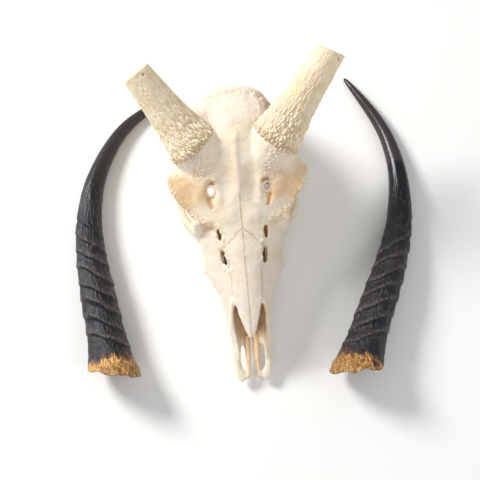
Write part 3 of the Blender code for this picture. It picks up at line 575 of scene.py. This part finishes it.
# dark is the brown of the painted shade in hollows.
BONE = bone_material("bleached_bone", base=(0.92, 0.83, 0.69), warm=(0.84, 0.70, 0.48),
                     dark=(0.56, 0.32, 0.13), grain_scale=520.0)
CORE = bone_material("horn_core_bone", base=(0.93, 0.81, 0.61), warm=(0.84, 0.66, 0.40),
                     dark=(0.55, 0.36, 0.17), grain_scale=640.0)
print("bone layers", [layer[0] for layer in BONE_LAYERS])

# %% [markdown]
# The skin is now shared out.  For the middle of every face the nearest face of the frame tells which
# bone it belongs to, and each bone's faces become a piece of their own with all stored values.  The
# piece also keeps the directions that its edge points had in the whole skin, so no seam shows in the light.

# %% Give each bone its share of the skin
def dress(piece, name, made):
    piece.data.materials.append(made)
    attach(piece, "root")
    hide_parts(name)


def share_out(mesh, names):
    points, normals = get_array(mesh, "co"), get_array(mesh, "normal")
    corners = np.zeros(len(mesh.polygons) * 4, dtype=np.int64)
    mesh.polygons.foreach_get("vertices", corners)
    corners = corners.reshape(-1, 4)
    middles = skull_points[corners].mean(axis=1)
    owner = np.array([bone_owners[bone_tree.find_nearest(Vector(m))[2]] for m in middles])
    for number, name in enumerate(names):
        used, numbered = np.unique(corners[owner == number], return_inverse=True)
        piece = object_of("fine_" + name, points[used], numbered.reshape(-1, 4).tolist())
        for layer_name, values in SKULL_LAYERS.items():
            set_layer(piece.data, layer_name, values[used])
        piece.data.shade_smooth()
        piece.data.normals_split_custom_set_from_vertices(normals[used].tolist())
        dress(piece, name, BONE)
        print(name, len(piece.data.polygons), "faces")


share_out(skull.data, SKULL_BONES)
bpy.data.objects.remove(skull, do_unlink=True)

# %% [markdown]
# A horn core is bone that blood vessels have furrowed.  Near its root it is crowded with beads, and
# towards the tip the beads draw out into long grooves.  One pattern does both: its cells are measured
# round the core and along it, and the measure along is stretched more and more with the distance from the
# root.  A pin hole was drilled near each saw cut, so that is pressed into the mesh as well.

# %% Places along a horn core
CORE_VOXEL = 0.5
CORE_SWELL, CORE_ROUNDS = 0.1, 7
CORE_RADIUS = 17.0
CELL_ACROSS, CELL_ALONG, CELL_GROWTH, CELL_WARP = 2.3, 3.3, 0.55, 0.3
CELL_STEP = np.array([0.49, 0.65, 0.58])
CELLS_START, STRETCH_FROM, CELL_ORIGIN = 8.0, 12.0, 40.0
ROOT_ZONE, TIP_ZONE, LIP = (10, 40), (52, 80), (1.0, 9.0)
DRILL_HOLES = {1: (94.5, 274.2), -1: (73.2, 274.8)}
DRILL_RADIUS, DRILL_DEPTH = 1.1, 1.7


def core_places(places, side):
    """Distance along the core from its root, the direction out of it, and its whole length."""
    start, end = CORE_BASE * [side, 1, 1], CORE_ENDS[side] * [side, 1, 1]
    length = np.linalg.norm(end - start)
    axis = (end - start) / length
    along = (places - start) @ axis
    out = places - start - along[:, None] * axis
    return along, out / np.maximum(np.linalg.norm(out, axis=1), 0.01)[:, None], length


def core_cells(places, along, out, side):
    """The beads and grooves of a core: cells that grow longer with the distance from the root."""
    far = np.maximum(along + CELLS_START, 0.0)
    stretched = np.log1p(CELL_GROWTH * far / STRETCH_FROM) * STRETCH_FROM / CELL_GROWTH / CELL_ALONG
    warp = np.column_stack([clouds(places, 5.0, seed) for seed in (41, 46, 51)])
    cells = out * (CORE_RADIUS / CELL_ACROSS) + CELL_ORIGIN + stretched[:, None] * CELL_STEP
    return beads(cells + CELL_WARP * warp, 1.0, 42 + side)


print("core lengths", [round(float(np.linalg.norm(CORE_ENDS[side] - CORE_BASE)), 1) for side in (1, -1)])

# %% [markdown]
# With that pattern each core is skinned as the skull was, carved and coloured.  Only its flank gets the
# pattern: the sawn end stays flat, as the saw left it, and shows the tan inside of the bone.  Brown
# painted shade goes into the furrows, the pin hole and the band under the lip at the root.

# %% Horn cores
def fine_core(hand, side):
    name = "horn_core_" + hand
    piece = skinned("fine_" + name, [name], CORE_VOXEL, CORE_SWELL)
    mesh = piece.data
    set_points(mesh, average(mesh, get_array(mesh, "co"), CORE_ROUNDS))
    points, normals = get_array(mesh, "co"), get_array(mesh, "normal")
    places = to_skull(points)
    outward = normals @ tip_turn
    along, out, length = core_places(places, side)
    flank = ramp(np.sum(out * outward, axis=1), 0.2, 0.6)
    cell_shape = core_cells(places, along, out, side)
    depth = 1.4 * (1 - ramp(along, *ROOT_ZONE)) + 0.95 - 0.5 * ramp(along, *TIP_ZONE)
    relief = depth * (cell_shape - 0.55) * flank
    relief += 1.2 * (1 - ramp(along, *LIP)) * flank
    relief += 0.16 * clouds(places, 2.0, 43, 2) + 0.35 * clouds(places, 12.0, 44, 2) * flank
    hole_away = np.linalg.norm(mirrored(places)[:, :2] - DRILL_HOLES[side], axis=1)
    pin = np.exp(-(hole_away / DRILL_RADIUS) ** 2) * ramp(outward[:, 2], 0.2, 0.5)
    relief -= DRILL_DEPTH * pin
    set_points(mesh, points + normals * (relief * MM)[:, None])
    cut_face = (1 - flank) * ramp(along, length - 6, length - 2)
    # Painted shade: darker in the furrows between the beads, in the pin hole and under the lip at the root.
    deep = ramp(0.5 - cell_shape, 0.0, 0.5) * flank * (0.5 + 0.45 * (1 - ramp(along, 20, 60)))
    under_lip = (1 - ramp(along, 0.5, 3.5)) * flank
    set_layer(mesh, "hollow", 0.75 * deep + pin + 0.45 * under_lip)
    set_layer(mesh, "stain_and_shade", 0.30 * ramp(clouds(places, 9.0, 45, 3), 0.0, 0.7) + 0.35 * cut_face)
    set_layer(mesh, "pale", ramp(cell_shape, 0.55, 0.95) * (1 - ramp(along, 12, 50)) * 0.75)
    for layer_name in ("suture", "pink", "tooth"):
        set_layer(mesh, layer_name, np.zeros(len(points)))
    mesh.shade_smooth()
    dress(piece, name, CORE)
    return piece


cores = [fine_core("right", 1), fine_core("left", -1)]
print("core faces", [len(core.data.polygons) for core in cores])

# %% [markdown]
# A horn sheath is a hollow cone of keratin.  It is built afresh as a fine tube along the same bent
# middle line as the frame's: rings of points that lean with the growth ridges, from the tip over the
# outside to the ragged base and back up the hollow.  The ridges rise steeply on their base side and
# fall away slowly behind, like stacked cups, and fine furrows run along the horn between them.

# %% Sheath sizes and middle line
SHEATH_LINES = {
    1: ((91.0, 4.1), (111.5, 51.0), (133.5, 98.0), (148.5, 140.0), (155.0, 187.0), (151.5, 225.0),
        (140.5, 257.0), (117.8, 299.9)),
    -1: ((-124.9, 21.4), (-130.6, 62.0), (-135.8, 98.0), (-140.2, 135.0), (-140.6, 170.0),
         (-134.5, 206.0), (-119.9, 239.9), (-98.0, 268.5), (-57.0, 297.5))}
SHEATH_WIDTHS = ((0, 46), (6, 42), (17, 37.5), (38, 32.5), (59, 31.5), (79, 30.5), (101, 28), (123, 25.5),
                 (145, 23), (166, 20.8), (188, 18), (211, 15.4), (234, 13), (262, 10.4), (290, 7.6),
                 (306, 5.6), (314, 4.0), (317, 2.2))
WIDTH_AT, WIDTH = np.array(SHEATH_WIDTHS, float).T
WALL, HOLLOW, THINNEST, FLATNESS = 3.2, 165.0, 0.8, 0.97
RINGS_FROM, RING_PITCH, RING_COUNT, RING_EDGE = 28.0, 15.8, 8, 0.18
RING_SLANTS, MORE_SLANT, TIP_TAPER, OVERHANG = {1: 9.5, -1: 7.5}, 4.0, 60.0, 6.0
# Where the painted sheen of the tip starts; the sharp step on the right sheath paints the upper edge of the
# right core's shadow.
TIP_SHEEN_FROM, FURROWS_FADE = {1: (209, 212), -1: (160, 230)}, (150, 215)
EDGE_TEAR, NOTCH_DEPTHS, NOTCH_ANGLE, NOTCH_WIDTH = 2.0, {1: 3.0, -1: 0.0}, math.radians(75), 0.25
SIDES = 150
STEP = 0.75


def curve(points, count):
    """Smooth curve through a few points, as count rows."""
    points = np.array(points, float)
    padded = np.vstack([2 * points[0] - points[1], points, 2 * points[-1] - points[-2]])
    rows = []
    for place in np.linspace(0, len(points) - 1.0, count):
        k = min(int(place), len(points) - 2)
        u = place - k
        a, b, c, d = padded[k:k + 4]
        rows.append(0.5 * (2 * b + (c - a) * u + (2 * a - 5 * b + 4 * c - d) * u ** 2
                           + (3 * b - a - 3 * c + d) * u ** 3))
    return np.array(rows)


middle_lines = {}
for side, corners in SHEATH_LINES.items():
    line = curve(corners, 400)
    reach = np.concatenate([[0.0], np.cumsum(np.linalg.norm(np.diff(line, axis=0), axis=1))])
    middle_lines[side] = (line, reach)
    print("sheath length", round(reach[-1], 1), "mm")

# %% [markdown]
# The outside of a sheath has two kinds of relief: growth ridges that are higher on top, and furrows
# along the horn that fade towards the polished tip.  Both only change the radius of the tube, so one
# function gives them as millimetres to add.

# %% Ridges and furrows of a sheath
def horn_relief(s, angle, radius, near_base, on_skin, side):
    """Millimetres to add to the radius, and the strength of the nearest ridge from 0 to 1."""
    def noise(stretch, size, seed, octaves):
        return clouds(on_skin * [1, 1, stretch], size, seed, octaves).reshape(s.shape)

    turns = (s - RINGS_FROM) / RING_PITCH + 0.17 * noise(1.0, 15.0, 52 + side, 2)
    live = ramp(turns, -0.15, 0.1) * (1 - ramp(turns, RING_COUNT - 1.6, RING_COUNT + 0.2))
    phase = np.mod(turns, 1.0)
    ring = np.where(phase < RING_EDGE, phase / RING_EDGE, (1 - phase) / (1 - RING_EDGE)) * live
    height = 1.0 + 1.0 * ramp(np.sin(angle), -0.1, 0.9) + 0.6 * noise(1.0, 18.0, 55, 1)
    furrows = 0.45 * noise(0.10, 1.5, 56, 2) + 0.22 * noise(0.05, 0.8, 57, 1)
    rough = (0.15 + 0.85 * (1 - ramp(s, *FURROWS_FADE))) * np.clip(radius / 12, 0.1, 1)
    frayed = 0.5 * near_base * noise(0.35, 3.0, 58, 3)
    return height * ring ** 1.3 - 0.35 * live + rough * furrows + frayed, ring


# %% [markdown]
# One function gives both skins of a sheath.  For each ring it leans the points across the horn, tears
# the base edge, adds the relief if it is the outside, and bends everything along the middle line.

# %% The two skins of a sheath
def sheath_skin(side, stations, thinner):
    line, reach = middle_lines[side]
    length = reach[-1]
    s, angle = np.meshgrid(stations, np.linspace(0, 2 * math.pi, SIDES, endpoint=False), indexing="ij")
    lean = side * (RING_SLANTS[side] + MORE_SLANT * ramp(s, 5, 40))
    lean = lean * np.clip((length - s) / TIP_TAPER, 0, 1)
    near_base = np.clip(1.0 - s / RINGS_FROM, 0, 1)
    circle = np.stack([np.cos(angle) * 9 + 50, np.sin(angle) * 9 + 50,
                       np.full_like(s, 7.0 + side)], axis=-1)
    torn = EDGE_TEAR * clouds(circle.reshape(-1, 3), 5.0, 51, 3).reshape(s.shape)
    torn = torn + NOTCH_DEPTHS[side] * np.exp(-((angle - NOTCH_ANGLE) / NOTCH_WIDTH) ** 2)
    here = s + lean * np.cos(angle) - OVERHANG * near_base * np.sin(angle) + torn * near_base ** 1.5
    here = np.minimum(here, length)
    within = np.clip(here, 0.0, length - 1.0)
    x, y = (np.interp(within, reach, line[:, k]) for k in (0, 1))
    ahead_x, ahead_y = (np.interp(within + 1.0, reach, line[:, k]) for k in (0, 1))
    turn = np.arctan2(ahead_x - x, ahead_y - y)
    x, y = x + (here - within) * np.sin(turn), y + (here - within) * np.cos(turn)
    share = WIDTH_AT[-1] / length
    radius = np.interp(np.maximum(here, 0) * share, WIDTH_AT, WIDTH / 2)
    radius = radius + 0.5 * (1 - ramp(here, length - 40, length))
    on_skin = np.stack([np.cos(angle) * radius, np.sin(angle) * radius, s], axis=-1).reshape(-1, 3)
    ring = np.zeros_like(s)
    if thinner == 0.0:
        more, ring = horn_relief(s, angle, radius, near_base, on_skin, side)
        radius = radius + more
    radius = np.maximum(radius - thinner, THINNEST)
    out = radius * np.cos(angle)
    middle = np.interp(np.maximum(s, 0) * share, WIDTH_AT, WIDTH / 2) * FLATNESS
    points = np.stack([x + out * np.cos(turn), y - out * np.sin(turn),
                       middle + radius * np.sin(angle) * FLATNESS], axis=-1)
    return points, ring, here


def grid_faces(rows, columns):
    corner = np.arange(rows - 1)[:, None] * columns + np.arange(columns)[None, :]
    beside = np.arange(rows - 1)[:, None] * columns + (np.arange(columns)[None, :] + 1) % columns
    return np.stack([corner, corner + columns, beside + columns, beside], axis=-1).reshape(-1, 4)


# %% [markdown]
# Horn is black keratin with a faint blue sheen where it is polished, brown scuffs on the ridges, and
# a golden, fibrous band at the base where it was softest.  Light is painted in as well: grey highlight
# streaks along the fibres of the ringed part, a lighter painted sheen on the tip, whose sharp lower
# edge on the right sheath paints the upper edge of the right core's shadow, and a painted highlight
# over the tan of the ridge crests.  The same kind of named layers steers the mix.

# %% Horn material
HORN_BLACK = (0.006, 0.005, 0.009)
# On the line below, the worn grey is painted highlight, streaks along the fibres, and the polished grey is
# painted sheen on the tip.
FIBRE_GREY, HIGHLIGHT_STREAK_GREY, TIP_SHEEN_GREY = (0.030, 0.026, 0.028), (0.24, 0.22, 0.225), (0.050, 0.042, 0.040)
# On the line below, the ridge tan is partly the crests' own tan and partly painted highlight on them.
SCUFF_BROWN, RIDGE_TAN_AND_HIGHLIGHT = (0.09, 0.06, 0.045), (0.19, 0.155, 0.14)
RIM_BROWN, INSIDE_BROWN = (0.20, 0.085, 0.03), (0.16, 0.085, 0.035)
GOLD_STOPS = ((0.63, (0.016, 0.010, 0.008)), (0.72, (0.42, 0.18, 0.045)), (0.84, (0.92, 0.57, 0.18)))
BASE_WEIGHT = 0.26


def horn_material():
    made = bpy.data.materials.new("black_horn")
    made.use_nodes = True
    add = node_adder(made)
    shader = made.node_tree.nodes["Principled BSDF"]

    def layer(layer_name):
        return add("ShaderNodeAttribute", attribute_name=layer_name).outputs["Fac"]

    def noise(source, scale, detail, roughness=0.5):
        settings = [("Scale", scale), ("Detail", detail), ("Roughness", roughness)]
        return add("ShaderNodeTexNoise", [("Vector", source)], settings).outputs["Fac"]

    def both(a, b):
        return add("ShaderNodeMath", [(0, a), (1, b)], operation="MULTIPLY").outputs[0]

    def scaled(source, times, plus):
        return add("ShaderNodeMath", [(0, source)], [(1, times), (2, plus)],
                   operation="MULTIPLY_ADD").outputs[0]

    place = add("ShaderNodeTexCoord").outputs["Object"]
    drawn = add("ShaderNodeMapping", [("Vector", place)], [("Scale", (1.0, 0.2, 1.0))]).outputs[0]
    fibres = noise(drawn, 900.0, 5.0, 0.7)
    broad = noise(place, 70.0, 5.0)
    blotch = noise(drawn, 650.0, 6.0, 0.75)
    worn_and_highlights = layer("worn_and_highlights")
    ground = add("ShaderNodeRGB")
    ground.outputs[0].default_value = (*HORN_BLACK, 1.0)
    colour = lay_over(add, ground.outputs[0], FIBRE_GREY, mapped(add, fibres, 0.45, 0.75, 0.9))
    # Painted highlight: grey streaks along the fibres of the ringed part.
    colour = lay_over(add, colour, HIGHLIGHT_STREAK_GREY, both(worn_and_highlights, mapped(add, fibres, 0.58, 0.72, 0.6)))
    # Painted sheen: lighter grey on the tip; on the right sheath its sharp lower edge paints the upper edge
    # of the right core's shadow.
    colour = lay_over(add, colour, TIP_SHEEN_GREY, mapped(add, layer("tip_sheen"), 0.0, 1.0, 0.8))
    colour = lay_over(add, colour, SCUFF_BROWN, both(worn_and_highlights, mapped(add, broad, 0.55, 0.8, 0.5)))
    # The ridge crests: their own tan with a painted highlight laid in.
    colour = lay_over(add, colour, RIDGE_TAN_AND_HIGHLIGHT, both(layer("ring"), mapped(add, fibres, 0.40, 0.66, 0.75)))
    brighter = add("ShaderNodeMath", [(0, layer("base")), (2, blotch)], [(1, BASE_WEIGHT)],
                   operation="MULTIPLY_ADD")
    golden = add("ShaderNodeValToRGB", [("Fac", brighter.outputs[0])])
    stops = golden.color_ramp.elements
    stops.new(GOLD_STOPS[1][0])
    for stop, (at, tint) in zip(stops, GOLD_STOPS):
        stop.position, stop.color = at, (*tint, 1)
    colour = add("ShaderNodeMix", [(6, colour), (7, golden.outputs[0]), (0, layer("base"))],
                 data_type="RGBA").outputs[2]
    colour = lay_over(add, colour, RIM_BROWN, both(layer("rim"), mapped(add, fibres, 0.35, 0.6, 0.85)))
    colour = lay_over(add, colour, INSIDE_BROWN, mapped(add, layer("inside"), 0.0, 1.0, 0.7))
    lines = add("ShaderNodeBump", [("Height", fibres), ("Strength", scaled(worn_and_highlights, 0.80, 0.10))],
                [("Distance", 0.0008)])
    link = made.node_tree.links.new
    link(colour, shader.inputs["Base Color"])
    link(scaled(worn_and_highlights, 0.05, 0.24), shader.inputs["Roughness"])
    link(lines.outputs[0], shader.inputs["Normal"])
    shader.inputs["Specular IOR Level"].default_value = 0.38
    shader.inputs["Specular Tint"].default_value = (0.90, 0.93, 1.0, 1.0)
    return made


HORN = horn_material()
print("horn material", HORN.name)

# %% [markdown]
# A sheath is now put together.  The outside runs from the tip to the base and the inside from the base
# up the hollow, where it closes, so all the rings make one tube with a cap at each end.  It is set down on
# the floor on its lowest point, and the material's layers are measured along it from the torn edge.

# %% Horn sheaths
MOUTH_RINGS = (0.6, 30, 24)
CLOSING = 6.0
# The second range below ends the scuffs and the painted highlight streaks towards the tip.
TOP_OF_GOLD, WORN_AND_HIGHLIGHTS_TO = (4, 21), (150, 200)


def fine_sheath(hand, side):
    name = "horn_sheath_" + hand
    length = middle_lines[side][1][-1]
    outside = np.linspace(length, 0.0, int(length / STEP))
    inside = np.concatenate([np.linspace(*MOUTH_RINGS), np.linspace(32, HOLLOW, 40)])
    outer, ring, here = sheath_skin(side, outside, 0.0)
    inner, no_ring, here_in = sheath_skin(side, inside, WALL)
    closing = np.clip((inside - HOLLOW + CLOSING) / CLOSING, 0, 1)[:, None, None]
    inner = inner + (inner.mean(axis=1, keepdims=True) - inner) * closing * 0.98
    points = np.concatenate([outer.reshape(-1, 3), inner.reshape(-1, 3)])
    rows = len(outside) + len(inside)
    faces = grid_faces(rows, SIDES).tolist()
    faces.append(list(range(SIDES)))
    faces.append([(rows - 1) * SIDES + k for k in range(SIDES)][::-1])
    world = points * MM + np.array([skull_origin[0], skull_origin[1], 0.0])
    world[:, 2] -= world[:, 2].min()
    piece = object_of("fine_" + name, world, faces)
    mesh = piece.data
    far = np.concatenate([here.ravel(), here_in.ravel()])
    within = np.concatenate([np.zeros(here.size), np.ones(here_in.size)])
    wash = clouds(points * [1, 0.35, 1], 6.0, 61, 3)
    set_layer(mesh, "base", (1 - ramp(far + 7 * wash, *TOP_OF_GOLD)) * (1 - 0.6 * within))
    round_it = np.tile(np.linspace(0, 2 * math.pi, SIDES, endpoint=False), rows)
    flare = ramp(np.cos(round_it) * -side, -0.1, 0.8) * (1 - ramp(far, 8, 18))
    edge = 1 - ramp(far + 3 * clouds(points, 4.0, 62, 2), 0.5, 7.0)
    set_layer(mesh, "rim", edge + 0.9 * flare)
    set_layer(mesh, "inside", within)
    set_layer(mesh, "ring", ramp(np.concatenate([ring.ravel(), no_ring.ravel()]), 0.55, 1.0))
    # The ringed part: brown scuffs, and the grey of the painted highlight streaks.
    set_layer(mesh, "worn_and_highlights", 1 - ramp(far, *WORN_AND_HIGHLIGHTS_TO))
    # Painted sheen on the tip, with a sharp lower edge on the right sheath where the right core's shadow
    # ends.
    set_layer(mesh, "tip_sheen", ramp(far, *TIP_SHEEN_FROM[side]))
    mesh.shade_smooth()
    dress(piece, name, HORN)
    return piece


sheaths = [fine_sheath("right", 1), fine_sheath("left", -1)]
print("sheath faces", [len(sheath.data.polygons) for sheath in sheaths])

# %% [markdown]
# The photograph is a cut-out on white, taken from above the face.  So the floor is pale and plain, a
# bright even sky keeps the shadows faint, and one large soft light from the upper left gives the relief
# its shape.  The camera's place and lens were found from marks on the skull.

# %% Floor and light
floor = object_of("floor", [(-4, -4, 0), (4, -4, 0), (4, 4, 0), (-4, 4, 0)], [(0, 1, 2, 3)])
paint = bpy.data.materials.new("pale_floor")
paint.use_nodes = True
paint.node_tree.nodes["Principled BSDF"].inputs["Base Color"].default_value = (0.95, 0.95, 0.95, 1.0)
paint.node_tree.nodes["Principled BSDF"].inputs["Roughness"].default_value = 0.9
floor.data.materials.append(paint)

sky = bpy.data.worlds.new("soft_sky")
bpy.context.scene.world = sky
sky.use_nodes = True
sky.node_tree.nodes["Background"].inputs["Color"].default_value = (1.0, 0.995, 0.985, 1)
sky.node_tree.nodes["Background"].inputs["Strength"].default_value = 0.42


def soft_light(name, place, size, power, colour=(1, 1, 1)):
    """A round lamp at a place in metres that looks at the middle of the floor."""
    light = bpy.data.lights.new(name, "AREA")
    light.shape = "DISK"
    light.size = size
    light.energy = power
    light.color = colour
    made = bpy.data.objects.new(name, light)
    bpy.context.scene.collection.objects.link(made)
    made.location = place
    made.rotation_euler = (-Vector(place)).to_track_quat("-Z", "Y").to_euler()
    return made


soft_light("key", (-1.15, 0.85, 1.05), 0.6, 31.0, (1.0, 0.985, 0.96))
soft_light("fill", (1.2, -0.6, 1.2), 1.2, 5.0)
soft_light("front", (-0.2, -1.5, 0.9), 0.9, 3.0)

# %% [markdown]
# Last, the camera.  Its place is given in the skull's own millimetres and its direction as two angles,
# as a photographer would note them: a little to the left of the face and steeply down on it.  The Standard
# view keeps the white floor white and the horn black.

# %% Camera and final boxes
CAMERA_PLACE = (-28.465, 128.728, 894.581)
CAMERA_AZIMUTH = math.radians(-5.3)
CAMERA_ELEVATION = math.radians(72.0)
LENS = 76.27

camera = bpy.data.objects.new("camera", bpy.data.cameras.new("camera"))
bpy.context.scene.collection.objects.link(camera)
camera.data.sensor_width = 36.0
camera.data.lens = LENS
camera.location = to_world([CAMERA_PLACE])[0]
back = Vector((math.sin(CAMERA_AZIMUTH) * math.cos(CAMERA_ELEVATION),
               -math.cos(CAMERA_AZIMUTH) * math.cos(CAMERA_ELEVATION), math.sin(CAMERA_ELEVATION)))
camera.rotation_euler = (-back).to_track_quat("-Z", "Y").to_euler()
bpy.context.scene.camera = camera
bpy.context.scene.view_settings.view_transform = "Standard"
